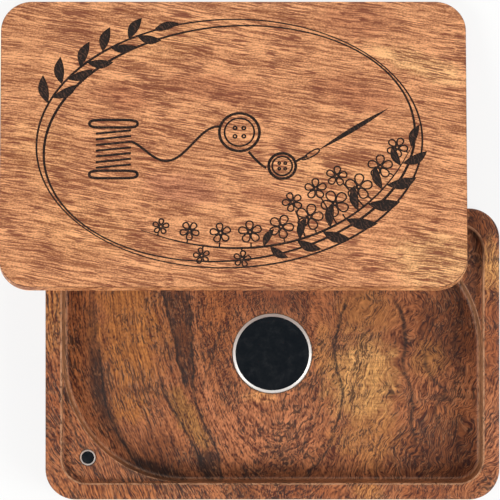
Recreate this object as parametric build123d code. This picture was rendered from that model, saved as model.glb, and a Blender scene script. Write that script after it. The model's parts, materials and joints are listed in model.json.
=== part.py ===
from build123d import *
import math
import os

# A palm-size pin box: a tray routed from one block, a loose lid that leans on its back rim,
# and disc magnets in blind holes. Sizes are in millimetres. The origin is the centre of the
# tray's underside, +X runs along its length, +Y points to its back and +Z points up.

# Tray block
TRAY_LENGTH = 113.5
TRAY_WIDTH = 72.8
TRAY_HEIGHT = 16.0
TRAY_CORNER_RADIUS = 7.6
OUTER_TOP_ROUND = 0.8
OUTER_BASE_CHAMFER = 0.8

# Routed hollow: a shallow recess that seats the lid, then a deeper pocket
RIM_WIDTH = 4.1
RECESS_DEPTH = 3.0
RECESS_CORNER_RADIUS = 6.2
RECESS_FLOOR_ROUND = 0.6
POCKET_STEP = 0.15
POCKET_DEPTH = 11.5
POCKET_FLOOR_ROUND = 1.0
LEDGE_ARC_RADIUS = 30.75
LEDGE_LIP_ROUND = 0.4
WALL_DRAFT = 2.0
RIM_INNER_CHAMFER = 0.4

# Disc magnets and the glue beds under them
MAGNET_THICKNESS = 2.0
CENTRE_MAGNET_DIAMETER = 20.0
CENTRE_MAGNET_BEVEL = 0.75
CORNER_MAGNET_DIAMETER = 4.0
CORNER_MAGNET_BEVEL = 0.4
BEVEL_DROP = 0.4
HOLE_CLEARANCE = 0.15
GLUE_BED = 0.2
CORNER_MAGNET_X = 46.2
CORNER_MAGNET_Y = 25.95

# Lid: a thin top board with a locating board glued under it
LID_OVERHANG = 1.6
LID_BOARD_THICKNESS = 3.0
LID_CORNER_RADIUS = 7.8
LID_TOP_CHAMFER = 0.25
INNER_BOARD_THICKNESS = 2.8
SEAT_CLEARANCE = 0.3

# Place of the open lid: its far end stands on the table, its underside lies on the back rim
LID_TILT = 19.55
LID_SHIFT_X = -9.75
REST_GAP = 0.05

recess_length = TRAY_LENGTH - 2 * RIM_WIDTH
recess_width = TRAY_WIDTH - 2 * RIM_WIDTH
draft_slope = math.tan(math.radians(WALL_DRAFT))
inner_board_inset = SEAT_CLEARANCE + RECESS_DEPTH * draft_slope
inner_board_length = recess_length - 2 * inner_board_inset
inner_board_width = recess_width - 2 * inner_board_inset
inner_board_radius = RECESS_CORNER_RADIUS - inner_board_inset
lid_length = TRAY_LENGTH + 2 * LID_OVERHANG
lid_width = TRAY_WIDTH + 2 * LID_OVERHANG
ledge_height = TRAY_HEIGHT - RECESS_DEPTH
pocket_floor_height = TRAY_HEIGHT - POCKET_DEPTH

# The two corners that carry magnets lie on one diagonal
CORNERS = {
    "front_left": (-CORNER_MAGNET_X, -CORNER_MAGNET_Y),
    "back_right": (CORNER_MAGNET_X, CORNER_MAGNET_Y),
}


def rounded_board(length, width, radius, thickness):
    """A flat board with rounded corners, its underside at z = 0."""
    return extrude(RectangleRounded(length, width, radius), thickness)


def recess_cutter():
    """The shallow seat under the rim, cut with slightly leaning walls and a round-edged bit."""
    outline = RectangleRounded(recess_length, recess_width, RECESS_CORNER_RADIUS)
    cutter = extrude(outline, RECESS_DEPTH, dir=(0, 0, -1), taper=WALL_DRAFT)
    floor_edges = cutter.faces().sort_by(Axis.Z)[0].edges()
    return Pos(Z=TRAY_HEIGHT) * fillet(floor_edges, RECESS_FLOOR_ROUND)


def pocket_outline():
    """The pocket in plan: two tight corners and two wide arcs that leave a ledge each."""
    half_length = recess_length / 2 - POCKET_STEP
    half_width = recess_width / 2 - POCKET_STEP
    outline = Rectangle(2 * half_length, 2 * half_width)
    ledge_corners = [v for v in outline.vertices() if v.X * v.Y > 0]
    outline = fillet(ledge_corners, LEDGE_ARC_RADIUS)
    tight_corners = [
        v
        for v in outline.vertices()
        if abs(v.X) > half_length - 1 and abs(v.Y) > half_width - 1
    ]
    return fillet(tight_corners, RECESS_CORNER_RADIUS - POCKET_STEP)


def pocket_cutter():
    """The deep pocket, with the small radius that the bit leaves round its floor."""
    cutter = extrude(pocket_outline(), POCKET_DEPTH, dir=(0, 0, -1), taper=WALL_DRAFT)
    floor_edges = cutter.faces().sort_by(Axis.Z)[0].edges()
    return Pos(Z=TRAY_HEIGHT) * fillet(floor_edges, POCKET_FLOOR_ROUND)


def ledge_lip_edges(tray):
    """The wide arcs where the two ledges drop off into the pocket."""
    level_edges = tray.edges().filter_by(Plane.XY).filter_by(GeomType.CIRCLE)
    return [
        edge
        for edge in level_edges
        if abs(edge.center().Z - ledge_height) < 0.01 and edge.radius > LEDGE_ARC_RADIUS / 2
    ]


def magnet_hole(diameter, face_height):
    """A flat-bottomed hole that takes a glue bed and a magnet flush with the surface."""
    depth = MAGNET_THICKNESS + GLUE_BED
    radius = diameter / 2 + HOLE_CLEARANCE
    return Pos(Z=face_height - depth / 2) * Cylinder(radius, depth)


def make_tray():
    """The block: rounded outside, routed recess and pocket, blind holes for its magnets."""
    block = rounded_board(TRAY_LENGTH, TRAY_WIDTH, TRAY_CORNER_RADIUS, TRAY_HEIGHT)
    block = chamfer(block.faces().sort_by(Axis.Z)[0].edges(), OUTER_BASE_CHAMFER)
    block = fillet(block.faces().sort_by(Axis.Z)[-1].edges(), OUTER_TOP_ROUND)
    tray = block - recess_cutter()
    rim_inner_edges = tray.faces().sort_by(Axis.Z)[-1].inner_wires()[0].edges()
    tray = chamfer(rim_inner_edges, RIM_INNER_CHAMFER)
    tray -= pocket_cutter()
    tray = fillet(ledge_lip_edges(tray), LEDGE_LIP_ROUND)
    tray -= magnet_hole(CENTRE_MAGNET_DIAMETER, pocket_floor_height)
    for x, y in CORNERS.values():
        tray -= Pos(x, y) * magnet_hole(CORNER_MAGNET_DIAMETER, ledge_height)
    return tray


def disc_magnet(diameter, bevel):
    """A plated disc with bevelled rims, its top face at z = 0."""
    radius = diameter / 2
    half_section = Polyline(
        (0, 0),
        (radius - bevel, 0),
        (radius, -BEVEL_DROP),
        (radius, -MAGNET_THICKNESS + BEVEL_DROP),
        (radius - bevel, -MAGNET_THICKNESS),
        (0, -MAGNET_THICKNESS),
        close=True,
    )
    return revolve(Plane.XZ * make_face(half_section), Axis.Z)


def glue_disc(diameter, thickness):
    """The bed of hard glue that fills the bottom of a magnet's hole, its top at z = 0."""
    return Pos(Z=-thickness / 2) * Cylinder(diameter / 2 + HOLE_CLEARANCE, thickness)


def make_lid_board():
    """The top board, which covers the whole tray and stands a little proud all round."""
    board = rounded_board(lid_length, lid_width, LID_CORNER_RADIUS, LID_BOARD_THICKNESS)
    return chamfer(board.faces().sort_by(Axis.Z)[-1].edges(), LID_TOP_CHAMFER)


def make_lid_inner_board():
    """The locating board, sized to drop into the recess, with its two magnet holes."""
    board = rounded_board(
        inner_board_length, inner_board_width, inner_board_radius, INNER_BOARD_THICKNESS
    )
    hole_radius = CORNER_MAGNET_DIAMETER / 2 + HOLE_CLEARANCE
    for x, y in CORNERS.values():
        board -= Pos(x, y) * Cylinder(hole_radius, 3 * INNER_BOARD_THICKNESS)
    return Pos(Z=-INNER_BOARD_THICKNESS) * board


def leaning_place():
    """Where the lid's own frame goes when the lid leans open on the back rim.

    The lower far edge of the locating board stands on the table, and its underside touches
    the rounded outer edge of the rim, both across a hair of clearance.
    """
    tilt = math.radians(LID_TILT)
    rim_round_y = TRAY_WIDTH / 2 - OUTER_TOP_ROUND
    rim_round_z = TRAY_HEIGHT - OUTER_TOP_ROUND
    reach = (rim_round_z - REST_GAP) * math.cos(tilt) + OUTER_TOP_ROUND + REST_GAP
    far_edge_y = rim_round_y + reach / math.sin(tilt)
    edge_y = inner_board_width / 2 * math.cos(tilt) - INNER_BOARD_THICKNESS * math.sin(tilt)
    edge_z = -inner_board_width / 2 * math.sin(tilt) - INNER_BOARD_THICKNESS * math.cos(tilt)
    return Pos(LID_SHIFT_X, far_edge_y - edge_y, REST_GAP - edge_z) * Rot(X=-LID_TILT)


def tray_pieces():
    """The tray and everything glued into it, in place."""
    pieces = {
        "tray": make_tray(),
        "centre_magnet": Pos(Z=pocket_floor_height)
        * disc_magnet(CENTRE_MAGNET_DIAMETER, CENTRE_MAGNET_BEVEL),
        "centre_magnet_glue": Pos(Z=pocket_floor_height - MAGNET_THICKNESS)
        * glue_disc(CENTRE_MAGNET_DIAMETER, GLUE_BED),
    }
    for corner, (x, y) in CORNERS.items():
        magnet = disc_magnet(CORNER_MAGNET_DIAMETER, CORNER_MAGNET_BEVEL)
        glue = glue_disc(CORNER_MAGNET_DIAMETER, GLUE_BED)
        pieces[f"tray_magnet_{corner}"] = Pos(x, y, ledge_height) * magnet
        glue_top = ledge_height - MAGNET_THICKNESS
        pieces[f"tray_magnet_glue_{corner}"] = Pos(x, y, glue_top) * glue
    return pieces


def lid_pieces():
    """The lid's boards, magnets and glue, in the lid's own flat frame."""
    pieces = {"lid_board": make_lid_board(), "lid_inner_board": make_lid_inner_board()}
    glue_thickness = INNER_BOARD_THICKNESS - MAGNET_THICKNESS
    for corner, (x, y) in CORNERS.items():
        magnet = disc_magnet(CORNER_MAGNET_DIAMETER, CORNER_MAGNET_BEVEL)
        face_down = Pos(x, y, -INNER_BOARD_THICKNESS) * Rot(X=180)
        pieces[f"lid_magnet_{corner}"] = face_down * magnet
        glue = glue_disc(CORNER_MAGNET_DIAMETER, glue_thickness)
        pieces[f"lid_magnet_glue_{corner}"] = Pos(x, y, 0) * glue
    return pieces


def main():
    """Build every piece in its place and write one file for each."""
    os.makedirs("parts", exist_ok=True)
    pieces = tray_pieces()
    place = leaning_place()
    for name, piece in lid_pieces().items():
        pieces[name] = place * piece
    for name, piece in pieces.items():
        export_step(piece, f"parts/{name}.step")
    lid_box = pieces["lid_board"].bounding_box()
    print(f"closed size {lid_length:.1f} x {lid_width:.1f} mm")
    print(f"open lid spans y {lid_box.min.Y:.2f} to {lid_box.max.Y:.2f} mm in plan")


main()
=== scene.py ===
import json
import logging
import math
from dataclasses import dataclass
from enum import Enum, IntEnum

import bmesh
import bpy
from mathutils import Matrix, Vector

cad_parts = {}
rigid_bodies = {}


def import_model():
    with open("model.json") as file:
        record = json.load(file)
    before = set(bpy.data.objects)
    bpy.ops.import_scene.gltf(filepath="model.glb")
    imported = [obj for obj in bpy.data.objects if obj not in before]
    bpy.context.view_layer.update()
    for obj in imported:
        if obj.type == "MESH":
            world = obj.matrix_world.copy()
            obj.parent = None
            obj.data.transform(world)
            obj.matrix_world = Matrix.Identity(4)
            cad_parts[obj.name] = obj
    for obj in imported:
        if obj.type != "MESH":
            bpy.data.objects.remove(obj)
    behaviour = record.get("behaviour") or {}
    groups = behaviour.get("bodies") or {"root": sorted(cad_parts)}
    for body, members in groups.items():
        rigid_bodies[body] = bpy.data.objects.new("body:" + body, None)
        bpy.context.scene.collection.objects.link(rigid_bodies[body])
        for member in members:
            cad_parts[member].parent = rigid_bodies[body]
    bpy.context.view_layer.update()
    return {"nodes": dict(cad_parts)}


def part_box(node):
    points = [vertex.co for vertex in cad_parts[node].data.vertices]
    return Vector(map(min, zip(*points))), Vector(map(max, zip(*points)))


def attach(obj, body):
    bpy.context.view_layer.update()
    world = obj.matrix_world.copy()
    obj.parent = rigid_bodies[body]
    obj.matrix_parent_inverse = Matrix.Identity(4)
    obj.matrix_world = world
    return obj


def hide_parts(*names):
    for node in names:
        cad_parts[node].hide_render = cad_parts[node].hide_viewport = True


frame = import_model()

# A palm-size pin box of oiled wood. The lid leans open on the tray's back rim, as in the
# photograph, and the camera looks straight down. Lengths are in millimetres unless a name
# says otherwise, and MM turns them to the scene's metres.

MM = 0.001
FULL_TURN = 2 * math.pi
WAVE_TURNS = 20  # A band of a wave texture at scale 1 is a full turn's radians over this.
LID_TILT = math.radians(19.55)
WELD = 0.002  # Points of a stroke closer than this become one.
SLIVER = 0.001  # Edges of a stroke shorter than this go.

Tree = bpy.types.NodeTree
Socket = bpy.types.NodeSocket
Colour = tuple[float, float, float, float]

log = logging.getLogger("pin_box")


def linear(code: str) -> Colour:
    """Turn an sRGB hex colour to linear light.

    Args:
        code: Six hex digits, such as "c98b62".

    Returns:
        Red, green, blue and an alpha of 1.
    """
    channels = [int(code[i : i + 2], 16) / 255 for i in (0, 2, 4)]
    light = [c / 12.92 if c <= 0.04045 else ((c + 0.055) / 1.055) ** 2.4 for c in channels]
    return (*light, 1.0)


def add_node(
    tree: Tree,
    kind: str,
    inputs: dict | None = None,
    out: int | str = 0,
    points: list | None = None,
    **settings: object,
) -> Socket:
    """Add one node with its settings and links.

    Args:
        tree: The node tree that takes it.
        kind: The node's type without its "ShaderNode" prefix.
        inputs: A value or an output socket for each input, by name or number.
        out: The output that the caller goes on with.
        points: The points of a float curve, from 0 to 1, left to right.
        settings: The node's own properties.

    Returns:
        The chosen output socket.
    """
    node = tree.nodes.new("ShaderNode" + kind)
    for name, value in settings.items():
        setattr(node, name, value)
    if points:
        curve = node.mapping.curves[0]
        curve.points[0].location = points[0]
        curve.points[-1].location = points[-1]
        for place, level in points[1:-1]:
            curve.points.new(place, level)
        node.mapping.update()
    for key, value in (inputs or {}).items():
        if isinstance(value, Socket):
            tree.links.new(value, node.inputs[key])
        else:
            node.inputs[key].default_value = value
    return node.outputs[out] if node.outputs else None


def new_material(name: str) -> tuple[bpy.types.Material, Tree]:
    """Make an empty node material.

    Args:
        name: The material's name.

    Returns:
        The material and its node tree.
    """
    material = bpy.data.materials.new(name)
    material.use_nodes = True
    material.node_tree.nodes.clear()
    return material, material.node_tree


def place_in_millimetres(tree: Tree) -> Socket:
    """Read where a point lies on its piece.

    Args:
        tree: The material's nodes.

    Returns:
        The point in the piece's own coordinates, in millimetres.
    """
    place = add_node(tree, "TexCoord", out="Object")
    return add_node(tree, "VectorMath", {0: place, 3: 1 / MM}, operation="SCALE")


@dataclass(frozen=True)
class GrainLayer:
    """One layer of streaks: their size along the grain's three axes, and their share."""

    size: tuple[float, float, float]
    share: float
    detail: float = 2.0
    roughness: float = 0.5


class Tone(Enum):
    """The tones that the two woods turn to in their soft patches."""

    HEART_BLACK = "2c140b"
    UMBER = "532b17"
    WALNUT = "6c3a1f"
    RUST = "824629"
    COPPER = "985a36"
    AMBER = "a96b3a"
    OLIVE = "94643a"
    ROSE = "a96a4e"
    GOLD = "ad7446"
    PALE_GOLD = "c69260"
    STRAW = "d8a471"
    RUSSET = "ac6c48"
    TAN = "d09465"


@dataclass(frozen=True)
class ToneSpot:
    """A soft patch of another tone, ragged at its edge, as an ellipse turned in degrees."""

    x: float
    y: float
    radius_x: float
    radius_y: float
    tone: Tone
    strength: float
    turn: float = 0.0


@dataclass(frozen=True)
class Vein:
    """A dark vein through places given as (y, x), front to back, and its fade to each side."""

    path: tuple[tuple[float, float], ...]
    left: float
    right: float
    strength: float


@dataclass(frozen=True)
class CurlPatch:
    """A soft patch with a figure of its own: a layer of streaks, and how far it calms the rest."""

    centre: tuple[float, float]
    size: tuple[float, float]
    layer: GrainLayer
    calm: float = 0.0
    along_rings: bool = True


@dataclass(frozen=True)
class Bend:
    """One size of wander in the growth rings: its reach on the still side and the curled one."""

    size: float
    still: float
    curled: float


@dataclass(frozen=True)
class HighlightBand:
    """A height at which arrises get a painted highlight: its top, its drop and how far it pales."""

    top: float
    drop: float
    share: float
    only_lit: bool = False


@dataclass(frozen=True)
class FiguredWood:
    """What both woods share: layered grain, soft patches of tone, and open pores."""

    name: str
    body: str
    layers: tuple[GrainLayer, ...]
    dark_grain: Colour
    light_grain: Colour
    contrast: float
    spots: tuple[ToneSpot, ...]
    pores: tuple[GrainLayer, ...]
    pore_colour: str
    pore_limit: tuple[float, float]
    pore_crowding: float
    spot_depth: float = 1000.0
    spot_fade: tuple[float, float] = (1.5, 2.3)
    ragged_size: float = 4.0
    ragged_reach: float = 2.0
    crowd_range: tuple[float, float] = (0.35, 0.65)
    dash_edge: float = 0.06
    grain_relief: float = 0.05
    grain_bump: float = 0.5
    pore_relief: float = 0.08
    pore_bump: float = 0.6
    roughness: float = 0.5
    ior: float = 1.45

    def level(
        self, tree: Tree, place: Socket, layers: tuple[GrainLayer, ...], contrast: float
    ) -> Socket:
        """Add layers of streaks up to one level round 0.5.

        Args:
            tree: The material's nodes.
            place: The point across, along and into the grain, in millimetres.
            layers: The layers.
            contrast: How far they swing the level.

        Returns:
            The level, not clamped.
        """
        level = 0.5 - contrast * sum(layer.share for layer in layers) / 2
        for layer in layers:
            scale = tuple(1 / size for size in layer.size)
            at = add_node(tree, "VectorMath", {0: place, 1: scale}, operation="MULTIPLY")
            streaks = add_node(
                tree,
                "TexNoise",
                {"Vector": at, "Scale": 1.0, "Detail": layer.detail, "Roughness": layer.roughness},
            )
            level = add_node(
                tree, "Math", {0: streaks, 1: layer.share * contrast, 2: level}, operation="MULTIPLY_ADD"
            )
        return level

    def lay_spots(self, tree: Tree, place: Socket, tone: Socket | Colour) -> Socket:
        """Tint the wood in the soft patches where its colour changes.

        Args:
            tree: The material's nodes.
            place: The point in millimetres, with Z through the wood's thickness.
            tone: The colour so far.

        Returns:
            The tinted colour.
        """
        ragged = add_node(
            tree,
            "TexNoise",
            {"Vector": place, "Scale": 1 / self.ragged_size, "Detail": 6.0, "Roughness": 0.75},
        )
        near, far = self.spot_fade
        for spot in self.spots:
            away = add_node(
                tree,
                "Mapping",
                {
                    "Vector": place,
                    "Location": (spot.x, spot.y, 0.0),
                    "Rotation": (0.0, 0.0, math.radians(spot.turn)),
                    "Scale": (spot.radius_x, spot.radius_y, self.spot_depth),
                },
                vector_type="TEXTURE",
            )
            away = add_node(tree, "VectorMath", {0: away}, out="Value", operation="LENGTH")
            away = add_node(
                tree, "Math", {0: ragged, 1: self.ragged_reach, 2: away}, operation="MULTIPLY_ADD"
            )
            inside = add_node(
                tree,
                "MapRange",
                {"Value": away, "From Min": near, "From Max": far, "To Min": spot.strength, "To Max": 0.0},
                interpolation_type="SMOOTHSTEP",
            )
            tone = add_node(
                tree, "Mix", {0: inside, 6: tone, 7: linear(spot.tone.value)}, out=2, data_type="RGBA"
            )
        return tone

    def lay_grain(self, tree: Tree, level: Socket, tone: Socket | Colour) -> Socket:
        """Darken and lighten the tone by the grain, redder where it is darker.

        Args:
            tree: The material's nodes.
            level: The grain, from 0 dark to 1 light.
            tone: The colour so far.

        Returns:
            The grained colour.
        """
        shade = add_node(
            tree, "Mix", {0: level, 6: self.dark_grain, 7: self.light_grain}, out=2, data_type="RGBA"
        )
        return add_node(tree, "VectorMath", {0: tone, 1: shade}, operation="MULTIPLY")

    def dash_share(
        self,
        tree: Tree,
        place: Socket,
        grain: Socket,
        layers: tuple[GrainLayer, ...],
        limit: tuple[float, float],
    ) -> Socket:
        """Find where the open pores or the light flecks and painted glints are: short dashes, in crowds.

        Args:
            tree: The material's nodes.
            place: The point in millimetres, with Z through the wood's thickness.
            grain: The point across, along and into the grain.
            layers: The sizes of the dashes and how far each covers the wood.
            limit: The level that a dash must pass, where they are rare and where they crowd.

        Returns:
            0 on plain wood and up to 1 in a dash.
        """
        crowd = add_node(
            tree, "TexNoise", {"Vector": place, "Scale": 1 / self.pore_crowding, "Detail": 2.0}
        )
        rare, crowded = self.crowd_range
        least = add_node(
            tree,
            "MapRange",
            {"Value": crowd, "From Min": rare, "From Max": crowded, "To Min": limit[0], "To Max": limit[1]},
        )
        share = 0.0
        for layer in layers:
            dashes = self.level(tree, grain, (layer,), 1.0)
            over = add_node(tree, "Math", {0: dashes, 1: least}, operation="SUBTRACT")
            dashes = add_node(
                tree, "MapRange", {"Value": over, "From Max": self.dash_edge, "To Max": layer.share}
            )
            share = add_node(tree, "Math", {0: share, 1: dashes}, operation="MAXIMUM")
        return share

    def finish(self, tree: Tree, tone: Socket, pores: Socket, grain: Socket) -> None:
        """Sink the pores, raise the grain and close the material.

        Args:
            tree: The material's nodes.
            tone: The finished colour of the plain wood.
            pores: How much of a point is pore.
            grain: The level of the grain.
        """
        tone = add_node(
            tree, "Mix", {0: pores, 6: tone, 7: linear(self.pore_colour)}, out=2, data_type="RGBA"
        )
        raised = {"Strength": self.grain_bump, "Distance": self.grain_relief * MM, "Height": grain}
        bump = add_node(tree, "Bump", raised)
        sunk = {"Strength": self.pore_bump, "Distance": self.pore_relief * MM, "Height": pores}
        bump = add_node(tree, "Bump", {**sunk, "Normal": bump}, invert=True)
        shader = add_node(
            tree,
            "BsdfPrincipled",
            {"Base Color": tone, "Roughness": self.roughness, "IOR": self.ior, "Normal": bump},
        )
        add_node(tree, "OutputMaterial", {"Surface": shader})


@dataclass(frozen=True)
class OiledFiguredWood(FiguredWood):
    """Figured hardwood, routed, sanded and oiled: warm brown, with veins, curl and dark pores.

    The oil fills the surface, so it is satin. The growth rings bow round a heart above the
    pocket, straight on the left and curled on the right; arrises and walls get painted highlights.
    """

    # Real fibre ends and pores are about 0.1 mm wide. The finest layers, flecks and pores are drawn
    # 0.3 to 0.6 mm wide, a pixel or two of the render, so that they show.
    name: str = "oiled_figured_hardwood"
    body: str = "9a5e40"
    layers: tuple[GrainLayer, ...] = (
        GrainLayer((4.5, 60.0, 30.0), 0.7),
        GrainLayer((1.4, 26.0, 12.0), 1.1, 2.0, 0.6),
        GrainLayer((0.55, 14.0, 7.0), 0.95, 0.0),
        GrainLayer((0.4, 4.0, 3.5), 1.1, 0.0),
        GrainLayer((0.34, 1.0, 1.6), 1.2, 0.0),
    )
    speckle: GrainLayer = GrainLayer((0.36, 0.36, 0.5), 1.6, 0.0)
    speckle_on_walls: float = 0.25
    speckle_facing: tuple[float, float] = (0.2, 0.9)
    dark_grain: Colour = (0.25, 0.11, 0.05, 1.0)
    light_grain: Colour = (1.68, 1.66, 1.28, 1.0)
    contrast: float = 0.85
    # Light flecks: partly ray fleck of the wood, partly painted glints of light on the oil.
    glint_flecks: tuple[GrainLayer, ...] = (
        GrainLayer((0.32, 1.0, 0.5), 0.5, 0.0),
        GrainLayer((0.45, 0.45, 0.45), 0.55, 0.0),
    )
    glint_fleck_colour: str = "b57b52"
    glint_fleck_limit: tuple[float, float] = (0.65, 0.54)
    pores: tuple[GrainLayer, ...] = (
        GrainLayer((0.4, 2.0, 0.8), 0.8, 1.0),
        GrainLayer((0.55, 0.6, 0.6), 0.7, 1.0),
    )
    pore_colour: str = "2e150c"
    pore_limit: tuple[float, float] = (0.64, 0.52)
    pore_crowding: float = 7.0
    heart: tuple[float, float, float] = (2.0, 20.0, 0.0)
    bends: tuple[Bend, ...] = (Bend(18.0, 3.0, 15.0), Bend(4.5, 0.5, 2.2))
    bend_span: tuple[float, float] = (-12.0, 38.0)
    ring_squeeze: tuple[float, float] = (0.46, 0.86)
    squeeze_reach: float = 50.0
    ring_dip: float = 0.5
    turn_radius: float = 30.0
    hollow_reach: tuple[float, float] = (53.6, 33.3)
    # Painted highlights along the rim's inner arris, the ledge's lip and the pocket's foot.
    painted_highlights: tuple[HighlightBand, ...] = (
        HighlightBand(16.0, 0.45, 0.85),
        HighlightBand(13.0, 0.45, 0.6),
        HighlightBand(4.9, 0.5, 0.55, only_lit=True),
    )
    highlight_facing: tuple[float, float, float, float] = (0.15, 0.3, 0.9, 0.98)
    highlight_slack: float = 0.01
    highlight_gap_size: float = 1.5
    highlight_gaps: tuple[float, float] = (0.35, 0.6)
    highlight_least: float = 0.35
    arris_highlight_colour: str = "d9a57f"
    # Walls that face the back lie in shade and take less of the painted sheen and foot highlight.
    lit_backward: tuple[float, float] = (0.1, 0.8)
    lit_least: float = 0.3
    # The painted sheen of the pocket's steep walls, kept grained.
    wall_sheen_colour: str = "b88a70"
    wall_sheen_share: float = 0.85
    wall_facing: tuple[float, float] = (0.5, 0.8)
    wall_grain: tuple[float, float] = (0.25, 0.75)
    far_wall: tuple[float, float] = (-1.0, -0.85)
    far_wall_sheen_share: float = 0.5
    spots: tuple[ToneSpot, ...] = (
        ToneSpot(-48.5, 6.0, 4.5, 24.0, Tone.COPPER, 0.9),
        ToneSpot(-55.0, 14.0, 2.5, 16.0, Tone.GOLD, 0.8),
        ToneSpot(-55.0, -14.0, 2.5, 14.0, Tone.RUST, 0.8),
        ToneSpot(-35.5, 6.0, 9.0, 20.0, Tone.AMBER, 0.95),
        ToneSpot(-36.0, -13.5, 6.0, 4.0, Tone.AMBER, 0.8),
        ToneSpot(-34.0, -9.0, 5.0, 1.6, Tone.WALNUT, 0.6),
        ToneSpot(-27.0, -25.5, 8.0, 5.0, Tone.WALNUT, 0.85, -35.0),
        ToneSpot(-43.0, -8.5, 2.7, 10.5, Tone.UMBER, 0.85, 11.0),
        ToneSpot(-29.0, -29.6, 11.0, 2.2, Tone.HEART_BLACK, 0.8, -14.0),
        ToneSpot(-22.4, 6.0, 2.6, 15.0, Tone.WALNUT, 0.9, 8.0),
        ToneSpot(-23.6, -12.0, 2.4, 4.5, Tone.OLIVE, 0.9, 24.0),
        ToneSpot(-20.8, -16.5, 3.0, 4.5, Tone.OLIVE, 0.95, 26.0),
        ToneSpot(-18.2, -21.3, 2.3, 3.6, Tone.OLIVE, 0.95, 28.0),
        ToneSpot(-15.8, -28.2, 2.8, 4.8, Tone.HEART_BLACK, 0.9, 14.0),
        ToneSpot(-14.5, 8.0, 5.5, 11.0, Tone.COPPER, 0.85),
        ToneSpot(-15.5, -13.0, 1.6, 9.0, Tone.ROSE, 0.7, 18.0),
        ToneSpot(0.0, 14.0, 12.0, 3.2, Tone.RUST, 0.85),
        ToneSpot(-3.0, -10.8, 4.5, 1.6, Tone.TAN, 0.7),
        ToneSpot(-6.0, -19.0, 8.0, 8.0, Tone.ROSE, 0.75),
        ToneSpot(6.0, -18.0, 6.0, 9.0, Tone.ROSE, 0.7),
        ToneSpot(1.0, -30.0, 12.0, 2.6, Tone.WALNUT, 0.75),
        ToneSpot(13.0, 1.0, 2.4, 8.0, Tone.GOLD, 0.7),
        ToneSpot(23.5, 11.0, 8.0, 6.0, Tone.GOLD, 0.7),
        ToneSpot(22.5, -7.0, 8.5, 12.0, Tone.PALE_GOLD, 0.95),
        ToneSpot(23.5, -0.5, 7.5, 1.4, Tone.STRAW, 0.6),
        ToneSpot(24.0, -22.0, 9.0, 6.5, Tone.GOLD, 0.8),
        ToneSpot(44.0, 7.0, 9.0, 12.0, Tone.WALNUT, 0.95),
        ToneSpot(39.0, -2.0, 5.0, 5.0, Tone.OLIVE, 0.6),
        ToneSpot(42.5, -23.0, 12.0, 8.0, Tone.WALNUT, 0.9),
        ToneSpot(43.0, -14.5, 7.0, 2.6, Tone.COPPER, 0.6),
        ToneSpot(43.0, -11.3, 3.4, 0.9, Tone.HEART_BLACK, 0.6, -8.0),
        ToneSpot(49.0, -10.8, 3.2, 0.7, Tone.HEART_BLACK, 0.45),
        ToneSpot(50.0, 33.0, 9.0, 5.0, Tone.WALNUT, 0.85),
        ToneSpot(55.0, 20.0, 2.6, 8.0, Tone.PALE_GOLD, 0.9),
        # Painted shadow: the lid's shade on the back right ledge, beside the lid.
        ToneSpot(50.0, 22.0, 2.4, 11.0, Tone.UMBER, 0.75),
        ToneSpot(55.0, 6.0, 2.6, 14.0, Tone.RUST, 0.85),
        ToneSpot(55.0, -20.0, 2.6, 10.0, Tone.ROSE, 0.7),
        ToneSpot(-40.0, -34.5, 14.0, 2.4, Tone.COPPER, 0.8),
        ToneSpot(-8.0, -34.5, 4.5, 2.4, Tone.WALNUT, 0.85),
        ToneSpot(10.0, -34.5, 9.0, 2.4, Tone.RUST, 0.75),
        ToneSpot(24.0, -34.5, 4.0, 2.4, Tone.GOLD, 0.75),
        ToneSpot(38.0, -34.5, 6.0, 2.4, Tone.RUST, 0.85),
    )
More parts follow.
